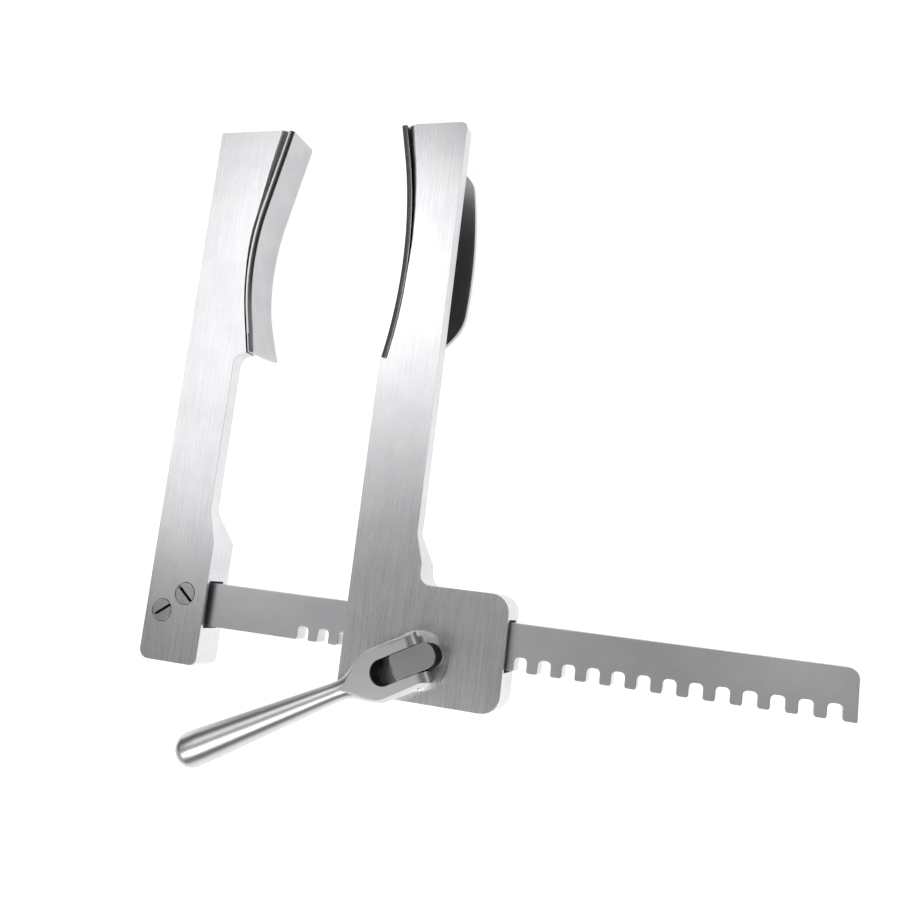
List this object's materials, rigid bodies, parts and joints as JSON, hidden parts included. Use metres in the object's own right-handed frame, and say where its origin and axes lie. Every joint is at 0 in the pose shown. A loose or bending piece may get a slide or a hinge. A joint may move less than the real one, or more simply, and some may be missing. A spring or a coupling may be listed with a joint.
{
  "type": "rib spreader",
  "caption": "Self-retaining rib spreader: two flat arms with hook blades on a notched rack, one arm driven along it by a folding crank.",
  "frame": {"origin": "middle of the assembly's box in X and Y, at the plane under the blades' lips, with the part lying flat and its front face up", "axes": "+X along the rack towards its free end, +Y along the arms towards the blades, +Z out of the front face"},
  "size_m": [0.1956, 0.1912, 0.0273],
  "materials": {
    "rack_steel": "satin",
    "arm_steel": "satin",
    "cover_steel": "satin",
    "blade_steel": "polished",
    "crank_steel": "polished",
    "spindle_steel": "polished",
    "pin_steel": "polished",
    "screw_steel": "satin"
  },
  "bodies": {
    "frame": {"rack_bar": "rack_steel", "fixed_arm": "arm_steel", "fixed_blade": "blade_steel", "rack_screw_upper": "screw_steel", "rack_screw_lower": "screw_steel"},
    "slider": {"sliding_arm": "arm_steel", "sliding_blade": "blade_steel", "housing_cover": "cover_steel", "cover_screw_1": "screw_steel", "cover_screw_2": "screw_steel", "cover_screw_3": "screw_steel", "cover_screw_4": "screw_steel"},
    "spindle": {"crank_spindle": "spindle_steel", "spindle_rear_disc": "spindle_steel", "drive_pin_1": "pin_steel", "drive_pin_2": "pin_steel", "crank_hinge_pin": "pin_steel"},
    "crank": {"crank_handle": "crank_steel"}
  },
  "joints": [
    {"name": "arm_slide", "type": "slide", "parent": "frame", "child": "slider", "axis": [1, 0, 0], "range_m": [-0.03492, 0.1016]},
    {"name": "crank_turn", "type": "hinge", "parent": "slider", "child": "spindle", "pos_m": [-0.01044, -0.05841, 0.0155], "axis": [0, 0, 1], "range_deg": [-990, 2880]},
    {"name": "crank_fold", "type": "hinge", "parent": "spindle", "child": "crank", "pos_m": [-0.01044, -0.05841, 0.0199], "axis": [-0.471, 0.8821, 0], "range_deg": [0, 175]}
  ],
  "couplings": [
    {"joint": "arm_slide", "follows": "crank_turn", "m_per_rad": 0.0020213}
  ]
}
